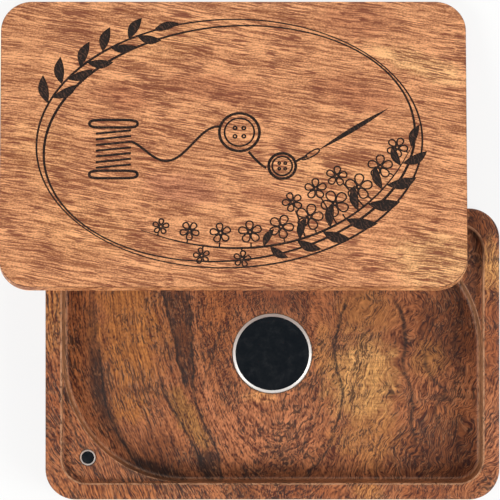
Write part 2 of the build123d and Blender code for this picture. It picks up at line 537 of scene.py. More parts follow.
    veins: tuple[Vein, ...] = (
        Vein(((-10, -21.6), (-1, -23.9), (8, -25.7), (16, -27.6), (40, -33.0)), 0.5, 0.9, 1.0),
        Vein(((-10, -21.6), (-1, -23.9), (8, -25.7), (16, -27.6), (40, -33.0)), 0.3, 4.0, 0.7),
        Vein(
            ((-34, -13.0), (-27, -13.2), (-22, -14.9), (-17, -17.2), (-12, -19.3), (-1, -19.9), (16, -21.0)),
            0.8,
            0.5,
            1.0,
        ),
        Vein(((-4, -20.0), (4, -20.2), (12, -21.0), (24, -24.0)), 3.0, 0.6, 0.42),
        Vein(((-31, -17.8), (-23.4, -19.3), (-17.2, -23.2), (-10.3, -26.6), (-5.0, -28.6)), 0.9, 0.5, 1.0),
        Vein(((-30, -17.4), (-26, -18.0), (-22, -19.3)), 3.0, 1.4, 0.7),
        Vein(
            (
                (-29, -32.4),
                (-24.5, -35.5),
                (-18.4, -39.3),
                (-13.4, -41.6),
                (-9.6, -43.5),
                (-2, -44.3),
                (14, -45.0),
            ),
            3.4,
            1.6,
            0.6,
        ),
        Vein(
            ((-31, -30.5), (-24.5, -36.1), (-18.4, -39.6), (-13.4, -41.4), (-8, -42.6), (4, -43.6)),
            0.7,
            0.6,
            1.0,
        ),
        Vein(((-31.5, -24.0), (-29.8, -28.5), (-27.0, -32.5), (-24, -36.0)), 2.2, 2.2, 0.7),
        Vein(((-34, -41.0), (-23.3, -47.7), (-12.6, -51.1)), 0.6, 0.5, 0.9),
        Vein(((-33, -41.6), (-27.2, -44.6)), 0.6, 0.4, 0.9),
        Vein(((-11, -17.5), (-7.3, -17.1), (-0.4, -14.8), (8, -12.5)), 0.8, 0.6, 0.7),
        Vein(
            (
                (-33, 5.5),
                (-25.3, 13.3),
                (-20.3, 15.2),
                (-15.3, 17.1),
                (-7.7, 17.5),
                (-3.4, 16.0),
                (3.8, 16.0),
                (7.7, 16.8),
                (15, 19.4),
            ),
            0.9,
            0.6,
            0.95,
        ),
        Vein(((-26, 6.0), (-21, 9.2), (-12, 12.0), (-2, 12.3)), 0.8, 0.5, 0.6),
        Vein(((-28, 0.5), (-22, 4.0), (-15, 6.0)), 0.8, 0.5, 0.5),
        Vein(
            ((-24, 36.3), (-16.5, 35.1), (-8.8, 34.8), (-4.2, 33.2), (1.9, 33.6), (8.4, 32.9), (15, 30.0)),
            1.2,
            0.8,
            0.85,
        ),
        Vein(((-20, 43.5), (-14, 41.0), (-10, 43.0), (-5, 39.5), (2, 38.0)), 0.9, 0.9, 0.7),
        Vein(((-8, 50.0), (2, 46.0), (12, 47.5), (20, 44.0)), 1.2, 0.8, 0.6),
        Vein(((-34, 29.0), (-30, 26.0), (-26, 27.5)), 0.9, 0.7, 0.7),
    )
    vein_colour: str = "1f0f0a"
    vein_ground: tuple[float, float] = (60.0, 40.0)
    vein_wander: float = 1.1
    vein_wander_size: float = 4.0
    vein_core: float = 0.25
    vein_falloff: float = 1.6
    vein_run_out: float = 3.0
    vein_speckle: GrainLayer = GrainLayer((0.7, 1.1, 0.9), 1.0, 3.0, 0.7)
    vein_gaps: tuple[float, float] = (0.36, 0.6)
    vein_least: float = 0.45
    curls: tuple[CurlPatch, ...] = (
        CurlPatch((-33.0, 3.0), (13.0, 26.0), GrainLayer((0.4, 2.2, 2.0), 0.9, 1.0), 0.42),
        CurlPatch((43.0, -2.0), (20.0, 34.0), GrainLayer((1.3, 4.5, 6.0), 1.2, 3.0, 0.65), 0.3),
        CurlPatch((43.0, -2.0), (20.0, 34.0), GrainLayer((0.42, 1.0, 1.1), 1.9, 1.0)),
        CurlPatch((23.0, -2.0), (11.0, 24.0), GrainLayer((0.5, 1.6, 1.6), 0.75, 1.0, 0.7), 0.5),
        CurlPatch(
            (23.0, -6.0), (10.0, 13.0), GrainLayer((4.0, 0.7, 4.0), 0.9, 2.0, 0.6), along_rings=False
        ),
        CurlPatch((-1.0, -21.0), (17.0, 14.0), GrainLayer((0.9, 7.0, 4.0), 1.5, 2.0, 0.65), 0.1),
        CurlPatch((-1.0, -21.0), (17.0, 14.0), GrainLayer((0.5, 1.4, 1.6), 1.5, 1.0, 0.7)),
    )
    curl_fade: tuple[float, float] = (0.6, 1.3)
    curl_depth: float = 1000.0

    def build(self) -> bpy.types.Material:
        """Build the node material.

        Returns:
            The finished material.
        """
        material, tree = new_material(self.name)
        place = place_in_millimetres(tree)
        rings = self.ring_place(tree, place)
        tone = self.lay_spots(tree, place, linear(self.body))
        level = self.level(tree, rings, self.layers, self.contrast)
        level = self.add_speckle(tree, rings, level)
        level = self.add_curl(tree, place, rings, level)
        tone = self.lay_grain(tree, level, tone)
        # Light flecks, partly painted glints.
        glint_flecks = self.dash_share(tree, place, rings, self.glint_flecks, self.glint_fleck_limit)
        tone = add_node(
            tree, "Mix", {0: glint_flecks, 6: tone, 7: linear(self.glint_fleck_colour)}, out=2, data_type="RGBA"
        )
        tone = self.lay_veins(tree, place, rings, tone)
        pores = self.dash_share(tree, place, rings, self.pores, self.pore_limit)
        tone = self.paint_arris_highlights(tree, place, level, tone)
        self.finish(tree, tone, pores, level)
        return material

    def ring_place(self, tree: Tree, place: Socket) -> Socket:
        """Work out where a point lies across and along the growth rings.

        Args:
            tree: The material's nodes.
            place: The point in millimetres.

        Returns:
            A vector of the place across the rings, along them and down into the block.
        """
        x = add_node(tree, "SeparateXYZ", {0: place}, out="X")
        left, right = self.bend_span
        for bend in self.bends:
            shift = add_node(
                tree,
                "TexNoise",
                {"Vector": place, "Scale": 1 / bend.size, "Detail": 3.0, "Roughness": 0.55},
                out="Color",
            )
            span = {"From Min": left, "From Max": right, "To Min": bend.still, "To Max": bend.curled}
            reach = add_node(tree, "MapRange", {"Value": x, **span})
            shift = add_node(tree, "VectorMath", {0: shift, 1: (0.5, 0.5, 0.5)}, operation="SUBTRACT")
            shift = add_node(tree, "VectorMath", {0: shift, 3: reach}, operation="SCALE")
            place = add_node(tree, "VectorMath", {0: place, 1: shift}, operation="ADD")
        away = add_node(tree, "VectorMath", {0: place, 1: self.heart}, operation="SUBTRACT")
        across, along, down = add_node(tree, "SeparateXYZ", {0: away}).node.outputs
        side = add_node(tree, "Math", {0: across, 1: across}, operation="MULTIPLY")
        middle, ends = self.ring_squeeze
        squeeze = add_node(
            tree,
            "MapRange",
            {"Value": side, "From Max": self.squeeze_reach**2, "To Min": middle, "To Max": ends},
        )
        along = add_node(tree, "Math", {0: along, 1: squeeze}, operation="MULTIPLY")
        flat = add_node(tree, "CombineXYZ", {"X": across, "Y": along})
        ring = add_node(tree, "VectorMath", {0: flat}, out="Value", operation="LENGTH")
        ring = add_node(tree, "Math", {0: down, 1: self.ring_dip, 2: ring}, operation="MULTIPLY_ADD")
        back = add_node(tree, "Math", {0: along, 1: -1.0}, operation="MULTIPLY")
        turn = add_node(tree, "Math", {0: across, 1: back}, operation="ARCTAN2")
        turn = add_node(tree, "Math", {0: turn, 1: self.turn_radius}, operation="MULTIPLY")
        return add_node(tree, "CombineXYZ", {"X": ring, "Y": turn, "Z": down})

    def lay_veins(self, tree: Tree, place: Socket, rings: Socket, tone: Socket) -> Socket:
        """Draw the dark veins that sweep through the figure.

        Args:
            tree: The material's nodes.
            place: The point in millimetres.
            rings: The place across and along the rings.
            tone: The colour so far.

        Returns:
            The colour with its veins.
        """
        wander = add_node(
            tree,
            "TexNoise",
            {"Vector": place, "Scale": 1 / self.vein_wander_size, "Detail": 4.0, "Roughness": 0.6},
        )
        wander = add_node(
            tree, "MapRange", {"Value": wander, "To Min": -self.vein_wander, "To Max": self.vein_wander}
        )
        speckle = self.level(tree, rings, (self.vein_speckle,), 1.0)
        gap, whole = self.vein_gaps
        speckle = add_node(
            tree,
            "MapRange",
            {"Value": speckle, "From Min": gap, "From Max": whole, "To Min": self.vein_least},
        )
        x, y, _ = add_node(tree, "SeparateXYZ", {0: place}).node.outputs
        x = add_node(tree, "Math", {0: x, 1: wander}, operation="ADD")
        half_x, half_y = self.vein_ground
        height = add_node(tree, "MapRange", {"Value": y, "From Min": -half_y, "From Max": half_y})
        for vein in self.veins:
            points = [((at_y / half_y + 1) / 2, (at_x / half_x + 1) / 2) for at_y, at_x in vein.path]
            line = add_node(tree, "FloatCurve", {"Value": height}, points=points)
            line = add_node(tree, "MapRange", {"Value": line, "To Min": -half_x, "To Max": half_x})
            off = add_node(tree, "Math", {0: x, 1: line}, operation="SUBTRACT")
            share = None
            for side, reach in ((-1, vein.left), (1, vein.right)):
                faded = add_node(
                    tree,
                    "MapRange",
                    {
                        "Value": off,
                        "From Min": side * self.vein_core * reach,
                        "From Max": side * reach,
                        "To Min": 1.0,
                        "To Max": 0.0,
                    },
                )
                if share is None:
                    share = faded
                else:
                    share = add_node(tree, "Math", {0: share, 1: faded}, operation="MULTIPLY")
            share = add_node(tree, "Math", {0: share, 1: self.vein_falloff}, operation="POWER")
            share = add_node(tree, "Math", {0: share, 1: speckle}, operation="MULTIPLY")
            low, high = vein.path[0][0], vein.path[-1][0]
            for near, far in ((low, low + self.vein_run_out), (high, high - self.vein_run_out)):
                run = add_node(tree, "MapRange", {"Value": y, "From Min": near, "From Max": far})
                share = add_node(tree, "Math", {0: share, 1: run}, operation="MULTIPLY")
            share = add_node(tree, "Math", {0: share, 1: vein.strength}, operation="MULTIPLY")
            tone = add_node(
                tree, "Mix", {0: share, 6: tone, 7: linear(self.vein_colour)}, out=2, data_type="RGBA"
            )
        return tone

    def add_speckle(self, tree: Tree, rings: Socket, level: Socket) -> Socket:
        """Add the fine speckle of cut fibre ends, which the upright faces have little of.

        Args:
            tree: The material's nodes.
            rings: The place across and along the rings.
            level: The level of the plain grain.

        Returns:
            The level with the speckle.
        """
        facing = add_node(tree, "NewGeometry", out="True Normal")
        facing = add_node(tree, "SeparateXYZ", {0: facing}, out="Z")
        facing = add_node(tree, "Math", {0: facing}, operation="ABSOLUTE")
        upright, level_face = self.speckle_facing
        share = add_node(
            tree,
            "MapRange",
            {
                "Value": facing,
                "From Min": upright,
                "From Max": level_face,
                "To Min": self.contrast * self.speckle_on_walls,
                "To Max": self.contrast,
            },
        )
        speckle = self.level(tree, rings, (self.speckle,), 1.0)
        speckle = add_node(tree, "Math", {0: speckle, 1: 0.5}, operation="SUBTRACT")
        return add_node(tree, "Math", {0: speckle, 1: share, 2: level}, operation="MULTIPLY_ADD")

    def add_curl(self, tree: Tree, place: Socket, rings: Socket, level: Socket) -> Socket:
        """Add the short curl bars of the golden patch and the mottled burl at the right.

        Args:
            tree: The material's nodes.
            place: The point in millimetres.
            rings: The place across and along the rings.
            level: The level of the plain grain.

        Returns:
            The level with both.
        """
        near, far = self.curl_fade
        for patch in self.curls:
            share = patch.layer.share
            away = add_node(
                tree,
                "Mapping",
                {
                    "Vector": place,
                    "Location": (*patch.centre, 0.0),
                    "Scale": (*patch.size, self.curl_depth),
                },
                vector_type="TEXTURE",
            )
            away = add_node(tree, "VectorMath", {0: away}, out="Value", operation="LENGTH")
            inside = add_node(
                tree,
                "MapRange",
                {"Value": away, "From Min": near, "From Max": far, "To Min": share, "To Max": 0.0},
                interpolation_type="SMOOTHSTEP",
            )
            space = rings if patch.along_rings else place
            bars = self.level(tree, space, (patch.layer,), 1 / share)
            bars = add_node(tree, "Math", {0: bars, 1: 0.5}, operation="SUBTRACT")
            kept = add_node(
                tree, "Math", {0: inside, 1: -patch.calm / share, 2: 1.0}, operation="MULTIPLY_ADD"
            )
            level = add_node(tree, "Math", {0: level, 1: 0.5}, operation="SUBTRACT")
            level = add_node(tree, "Math", {0: level, 1: kept, 2: 0.5}, operation="MULTIPLY_ADD")
            level = add_node(tree, "Math", {0: bars, 1: inside, 2: level}, operation="MULTIPLY_ADD")
        return level

    def inside_rim(self, tree: Tree, place: Socket) -> Socket:
        """Tell the hollow from the outside of the block.

        Args:
            tree: The material's nodes.
            place: The point in millimetres.

        Returns:
            1 inside the rim's middle line and 0 outside it.
        """
        inside = 1.0
        for axis, reach in zip(("X", "Y"), self.hollow_reach):
            out = add_node(tree, "SeparateXYZ", {0: place}, out=axis)
            out = add_node(tree, "Math", {0: out}, operation="ABSOLUTE")
            near = add_node(tree, "Math", {0: out, 1: reach}, operation="LESS_THAN")
            inside = add_node(tree, "Math", {0: inside, 1: near}, operation="MULTIPLY")
        return inside

    def paint_wall_sheen(
        self, tree: Tree, inside: Socket, lit: Socket, level: Socket, tone: Socket
    ) -> Socket:
        """Paint a pale sheen on the hollow's steep walls, standing in for the light that they catch.

        Args:
            tree: The material's nodes.
            inside: 1 in the hollow.
            lit: How much painted sheen a wall takes, by the way that it faces the light.
            level: The grain, from 0 dark to 1 light.
            tone: The colour so far.

        Returns:
            The colour with its paler walls.
        """
        normal = add_node(tree, "NewGeometry", out="True Normal")
        _, backward, facing = add_node(tree, "SeparateXYZ", {0: normal}).node.outputs
        steepest, flattest = self.wall_facing
        span = {"From Min": steepest, "From Max": flattest, "To Min": self.wall_sheen_share, "To Max": 0.0}
        steep = add_node(tree, "MapRange", {"Value": facing, **span})
        back, side = self.far_wall
        span = {"From Min": back, "From Max": side, "To Min": self.far_wall_sheen_share}
        far = add_node(tree, "MapRange", {"Value": backward, **span})
        for share in (inside, lit, far):
            steep = add_node(tree, "Math", {0: steep, 1: share}, operation="MULTIPLY")
        dark, light = self.wall_grain
        soft = add_node(tree, "MapRange", {"Value": level, "To Min": dark, "To Max": light})
        # Painted sheen: the steep walls are mixed towards a pale grained colour.
        wall = self.lay_grain(tree, soft, linear(self.wall_sheen_colour)[:3])
        return add_node(tree, "Mix", {0: steep, 6: tone, 7: wall}, out=2, data_type="RGBA")

    def paint_arris_highlights(self, tree: Tree, place: Socket, level: Socket, tone: Socket) -> Socket:
        """Paint a pale sheen on the hollow's walls and pale highlights on its arrises.

        Args:
            tree: The material's nodes.
            place: The point in millimetres.
            level: The grain, from 0 dark to 1 light.
            tone: The colour so far.

        Returns:
            The colour with its painted wall sheen and arris highlights.
        """
        normal = add_node(tree, "NewGeometry", out="True Normal")
        _, backward, facing = add_node(tree, "SeparateXYZ", {0: normal}).node.outputs
        side, back = self.lit_backward
        span = {"From Min": side, "From Max": back, "To Min": 1.0, "To Max": self.lit_least}
        lit = add_node(tree, "MapRange", {"Value": backward, **span})
        inside = self.inside_rim(tree, place)
        tone = self.paint_wall_sheen(tree, inside, lit, level, tone)
        wall, steep, slight, flat = self.highlight_facing
        span = {"From Min": slight, "From Max": flat, "To Min": 1.0, "To Max": 0.0}
        slanted = add_node(tree, "MapRange", {"Value": facing, **span})
        upright = add_node(tree, "MapRange", {"Value": facing, "From Min": wall, "From Max": steep})
        broken = add_node(
            tree, "TexNoise", {"Vector": place, "Scale": 1 / self.highlight_gap_size, "Detail": 3.0}
        )
        gap, whole = self.highlight_gaps
        span = {"From Min": gap, "From Max": whole, "To Min": self.highlight_least}
        broken = add_node(tree, "MapRange", {"Value": broken, **span})
        height = add_node(tree, "SeparateXYZ", {0: place}, out="Z")
        # Each band paints a pale highlight along the arrises at its height; the foot band only where light
        # falls.
        for band in self.painted_highlights:
            top = band.top + self.highlight_slack
            below = add_node(tree, "Math", {0: height, 1: top}, operation="LESS_THAN")
            above = add_node(tree, "Math", {0: height, 1: band.top - band.drop}, operation="GREATER_THAN")
            share = band.share
            side_share = lit if band.only_lit else 1.0
            for factor in (below, above, slanted, upright, inside, broken, side_share):
                share = add_node(tree, "Math", {0: share, 1: factor}, operation="MULTIPLY")
            tone = add_node(
                tree, "Mix", {0: share, 6: tone, 7: linear(self.arris_highlight_colour)}, out=2, data_type="RGBA"
            )
        return tone


@dataclass(frozen=True)
class SandedTanWood(FiguredWood):
    """Light reddish board, planed and fine sanded: dry and silky, with short red-brown pores."""

    # Real fibres are under 0.1 mm wide. The finest streaks and pores are drawn 0.25 to 0.5 mm wide,
    # a pixel or two of the render, so that they show.
    name: str = "sanded_tan_board"
    body: str = "cb8d62"
    layers: tuple[GrainLayer, ...] = (
        GrainLayer((60.0, 5.0, 5.0), 0.9),
        GrainLayer((24.0, 1.6, 1.6), 1.0, 1.0),
        GrainLayer((12.0, 0.5, 0.6), 1.0, 0.0),
        GrainLayer((4.0, 0.34, 0.5), 1.0, 0.0),
        GrainLayer((0.45, 0.34, 0.4), 0.9, 0.0),
    )
    dark_grain: Colour = (0.54, 0.38, 0.26, 1.0)
    light_grain: Colour = (1.66, 1.70, 1.62, 1.0)
    contrast: float = 1.08
    spots: tuple[ToneSpot, ...] = (
        ToneSpot(-28.0, 12.5, 8.0, 3.6, Tone.RUSSET, 0.8, -8.0),
        ToneSpot(-4.0, 14.5, 15.0, 4.0, Tone.RUSSET, 0.75, -8.0),
        ToneSpot(31.0, 13.0, 11.0, 5.0, Tone.RUSSET, 0.8, -14.0),
        ToneSpot(31.0, 33.0, 10.0, 5.0, Tone.RUSSET, 0.75, -8.0),
        ToneSpot(47.0, 21.0, 13.0, 3.4, Tone.STRAW, 0.8, -20.0),
        ToneSpot(-48.0, -2.0, 9.0, 10.0, Tone.TAN, 0.8),
        ToneSpot(-37.0, -23.0, 12.0, 8.0, Tone.TAN, 0.7, -10.0),
        ToneSpot(-13.0, -12.0, 10.0, 4.0, Tone.ROSE, 0.7, -10.0),
        ToneSpot(50.0, -31.0, 11.0, 7.0, Tone.STRAW, 0.8),
        ToneSpot(9.0, -14.0, 9.0, 2.2, Tone.RUSSET, 0.7, -10.0),
        ToneSpot(-17.0, 28.0, 13.0, 6.0, Tone.TAN, 0.7),
        ToneSpot(24.0, -8.0, 16.0, 5.0, Tone.TAN, 0.6, -10.0),
    )
    pores: tuple[GrainLayer, ...] = (
        GrainLayer((8.0, 0.3, 0.4), 0.8, 0.0),
        GrainLayer((3.5, 0.25, 0.4), 0.85, 0.0),
    )
    pore_colour: str = "783417"
    pore_limit: tuple[float, float] = (0.68, 0.535)
    pore_crowding: float = 9.0
    centre: tuple[float, float, float] = (0.0, 0.0, 0.0)
    tilt: float = 0.0
    grain_angle: float = math.radians(-10.0)
    wanders: tuple[tuple[float, float], ...] = ((26.0, 3.2), (6.0, 0.3))

    def build(self) -> bpy.types.Material:
        """Build the node material.

        Returns:
            The finished material.
        """
        material, tree = new_material(self.name)
        place = add_node(tree, "TexCoord", out="Object")
        place = add_node(
            tree,
            "Mapping",
            {"Vector": place, "Location": self.centre, "Rotation": (-self.tilt, 0.0, 0.0)},
            vector_type="TEXTURE",
        )
        place = add_node(tree, "VectorMath", {0: place, 3: 1 / MM}, operation="SCALE")
        grain = add_node(
            tree,
            "Mapping",
            {"Vector": place, "Rotation": (0.0, 0.0, self.grain_angle)},
            vector_type="TEXTURE",
        )
        for size, reach in self.wanders:
            shift = add_node(
                tree, "TexNoise", {"Vector": grain, "Scale": 1 / size, "Detail": 2.0}, out="Color"
            )
            shift = add_node(tree, "VectorMath", {0: shift, 1: (0.5, 0.5, 0.5)}, operation="SUBTRACT")
            shift = add_node(tree, "VectorMath", {0: shift, 1: (0.0, reach, reach)}, operation="MULTIPLY")
            grain = add_node(tree, "VectorMath", {0: grain, 1: shift}, operation="ADD")
        tone = self.lay_spots(tree, place, linear(self.body))
        level = self.level(tree, grain, self.layers, self.contrast)
        tone = self.lay_grain(tree, level, tone)
        pores = self.dash_share(tree, place, grain, self.pores, self.pore_limit)
        self.finish(tree, tone, pores, level)
        return material


@dataclass(frozen=True)
class CharredWood:
    """Wood burnt by a cutting beam: near-black and matt, with brown hatching where it burnt less."""

    # The beam's passes lie about 0.1 mm apart. They are drawn 0.5 mm apart, so that they show.
    name: str = "charred_engraving"
    dark: str = "1d120e"
    brown: str = "55382a"
    hatch_spacing: float = 0.5
    patch_size: float = 1.2
    brown_from: float = 0.3
    brown_full: float = 0.6
    relief: float = 0.05
    roughness: float = 0.85
    ior: float = 1.45

    def build(self) -> bpy.types.Material:
        """Build the node material.

        Returns:
            The finished material.
        """
        material, tree = new_material(self.name)
        place = place_in_millimetres(tree)
        hatch = add_node(
            tree,
            "TexWave",
            {
                "Vector": place,
                "Scale": FULL_TURN / WAVE_TURNS / self.hatch_spacing,
                "Distortion": 9.0,
                "Detail": 3.0,
                "Detail Scale": 1.5,
            },
            wave_type="BANDS",
            bands_direction="DIAGONAL",
        )
        patch = add_node(tree, "TexNoise", {"Vector": place, "Scale": 1 / self.patch_size, "Detail": 3.0})
        level = add_node(tree, "Math", {0: hatch, 1: patch}, operation="MULTIPLY")
        span = {"From Min": self.brown_from, "From Max": self.brown_full}
        level = add_node(tree, "MapRange", {"Value": level, **span})
        colours = {0: level, 6: linear(self.dark), 7: linear(self.brown)}
        tone = add_node(tree, "Mix", colours, out=2, data_type="RGBA")
        bump = add_node(tree, "Bump", {"Strength": 0.5, "Distance": self.relief * MM, "Height": patch})
        shader = add_node(
            tree,
            "BsdfPrincipled",
            {"Base Color": tone, "Roughness": self.roughness, "IOR": self.ior, "Normal": bump},
        )
        add_node(tree, "OutputMaterial", {"Surface": shader})
        return material


@dataclass(frozen=True)
class NickelPlate:
    """Bright nickel over a pressed magnet: a mirror face with handling marks, and a bevel.

    The flat face mirrors the dark part of the studio overhead. Half of the bevel is a pale
    matt skin, a painted highlight for its bright reflection, so it shows as a pale ring.
    """

    name: str = "bright_nickel_plate"
    colour: str = "c9c8c6"
    # The bevel's pale colour and half matt skin are a painted highlight for its bright reflection.
    bevel_highlight_colour: str = "f4f1ec"
    face_roughness: tuple[float, float] = (0.06, 0.18)
    bevel_roughness: float = 0.45
    bevel_highlight_metal: float = 0.5
    bevel_facing: tuple[float, float] = (0.93, 0.99)
    mark_levels: tuple[float, float] = (0.3, 0.7)
    mark_size: float = 2.5
    relief: float = 0.02

    def build(self) -> bpy.types.Material:
        """Build the node material.

        Returns:
            The finished material.
        """
        material, tree = new_material(self.name)
        place = place_in_millimetres(tree)
        haze = add_node(
            tree,
            "TexNoise",
            {"Vector": place, "Scale": 1 / self.mark_size, "Detail": 6.0, "Roughness": 0.75},
        )
        facing = add_node(tree, "NewGeometry", out="True Normal")
        facing = add_node(tree, "SeparateXYZ", {0: facing}, out="Z")
        slanted, flat = self.bevel_facing
        span = {"From Min": slanted, "From Max": flat, "To Min": 1.0, "To Max": 0.0}
        bevel = add_node(tree, "MapRange", {"Value": facing, **span})
        low, high = self.mark_levels
        clean, marked = self.face_roughness
        span = {"From Min": low, "From Max": high, "To Min": clean, "To Max": marked}
        face = add_node(tree, "MapRange", {"Value": haze, **span})
        rough = add_node(tree, "Mix", {0: bevel, 2: face, 3: self.bevel_roughness})
        colours = {0: bevel, 6: linear(self.colour), 7: linear(self.bevel_highlight_colour)}
        tone = add_node(tree, "Mix", colours, out=2, data_type="RGBA")
        metal = add_node(tree, "MapRange", {"Value": bevel, "To Min": 1.0, "To Max": self.bevel_highlight_metal})
        bump = add_node(tree, "Bump", {"Strength": 0.15, "Distance": self.relief * MM, "Height": haze})
        shader = add_node(
            tree,
            "BsdfPrincipled",
            {"Base Color": tone, "Metallic": metal, "Roughness": rough, "Normal": bump},
        )
        add_node(tree, "OutputMaterial", {"Surface": shader})
        return material


@dataclass(frozen=True)
class ClearEpoxy:
    """Two-part clear glue, set hard: glossy, slightly yellow, with a few trapped bubbles."""

    name: str = "clear_set_epoxy"
    colour: str = "b9a877"
    bubble_colour: str = "8d7d52"
    bubble_spacing: float = 0.6
    bubble_reach: float = 0.5
    roughness: float = 0.18
    ior: float = 1.55

    def build(self) -> bpy.types.Material:
        """Build the node material.

        Returns:
            The finished material.
        """
        material, tree = new_material(self.name)
        place = place_in_millimetres(tree)
        bubbles = add_node(tree, "TexVoronoi", {"Vector": place, "Scale": 1 / self.bubble_spacing})
        level = add_node(tree, "MapRange", {"Value": bubbles, "From Max": self.bubble_reach})
        colours = {0: level, 6: linear(self.bubble_colour), 7: linear(self.colour)}
        tone = add_node(tree, "Mix", colours, out=2, data_type="RGBA")
        surface = {"Base Color": tone, "Roughness": self.roughness, "IOR": self.ior}
        shader = add_node(tree, "BsdfPrincipled", surface)
        add_node(tree, "OutputMaterial", {"Surface": shader})
        return material


@dataclass(frozen=True)
class StudioFloor:
    """Matt white card that still shows the box's shadow."""

    name: str = "white_card_floor"
    colour: str = "f4f4f2"
    glow_share: float = 0.82

    def build(self) -> bpy.types.Material:
        """Build the node material.

        Returns:
            The finished material.
        """
        material, tree = new_material(self.name)
        card = add_node(tree, "BsdfDiffuse", {"Color": linear(self.colour)})
        glow = add_node(tree, "Emission", {"Color": (1.0, 1.0, 1.0, 1.0), "Strength": 1.0})
        rays = add_node(tree, "LightPath").node.outputs
        seen = rays["Is Camera Ray"]
        for kind in ("Is Glossy Ray", "Is Transmission Ray"):
            seen = add_node(tree, "Math", {0: seen, 1: rays[kind]}, operation="MAXIMUM")
        share = add_node(tree, "Math", {0: seen, 1: self.glow_share}, operation="MULTIPLY")
        surface = add_node(tree, "MixShader", {0: share, 1: card, 2: glow})
        add_node(tree, "OutputMaterial", {"Surface": surface})
        return material


def finished_mesh(source: bpy.types.Object, name: str) -> bpy.types.Mesh:
    """Take an object's shape with its modifiers applied, and delete the object.

    Args:
        source: A linked mesh or curve object.
        name: The new mesh's name.

    Returns:
        The mesh.
    """
    bpy.context.view_layer.update()
    seen = source.evaluated_get(bpy.context.evaluated_depsgraph_get())
    mesh = bpy.data.meshes.new_from_object(seen)
    mesh.name = name
    bpy.data.objects.remove(source)
    return mesh


def close_seams(mesh: bpy.types.Mesh) -> None:
    """Join the faces of a curve's mesh along its seams, so that it bounds a volume.

    Args:
        mesh: The mesh, changed in place.
    """
    bm = bmesh.new()
    bm.from_mesh(mesh)
    bmesh.ops.remove_doubles(bm, verts=bm.verts, dist=WELD * MM)
    bmesh.ops.dissolve_degenerate(bm, edges=bm.edges, dist=SLIVER * MM)
    bmesh.ops.recalc_face_normals(bm, faces=bm.faces)
    open_edges = sum(len(e.link_faces) != 2 for e in bm.edges)
    if open_edges:
        log.warning("%s: %d open edges", mesh.name, open_edges)
    bm.to_mesh(mesh)
    bm.free()


def linked_object(name: str, data: bpy.types.ID) -> bpy.types.Object:
    """Make an object at the origin and put it in the scene.

    Args:
        name: The object's name.
        data: Its mesh, curve, light or camera data.

    Returns:
        The object.
    """
    made = bpy.data.objects.new(name, data)
    bpy.context.scene.collection.objects.link(made)
    return made


def dress(node: str, material: bpy.types.Material) -> None:
    """Give a CAD piece its finish.

    Args:
        node: The piece's name.
        material: The finish.
    """
    mesh = frame["nodes"][node].data
    mesh.materials.clear()
    mesh.materials.append(material)
    log.info("%s: %s", node, material.name)


@dataclass
class Tray:
    """The routed tray with three magnets glued into it. Their shapes are the CAD's own."""

    magnets: tuple[str, ...] = ("centre_magnet", "tray_magnet_front_left", "tray_magnet_back_right")
    glue_beds: tuple[str, ...] = (
        "centre_magnet_glue",
        "tray_magnet_glue_front_left",
        "tray_magnet_glue_back_right",
    )

    def dress(self, plate: bpy.types.Material, glue: bpy.types.Material) -> None:
        """Finish the tray, its magnets and the glue under them.

        Args:
            plate: The finish of the magnets.
            glue: The finish of the glue beds.
        """
        dress("tray", OiledFiguredWood().build())
        for piece in self.magnets:
            dress(piece, plate)
        for piece in self.glue_beds:
            dress(piece, glue)


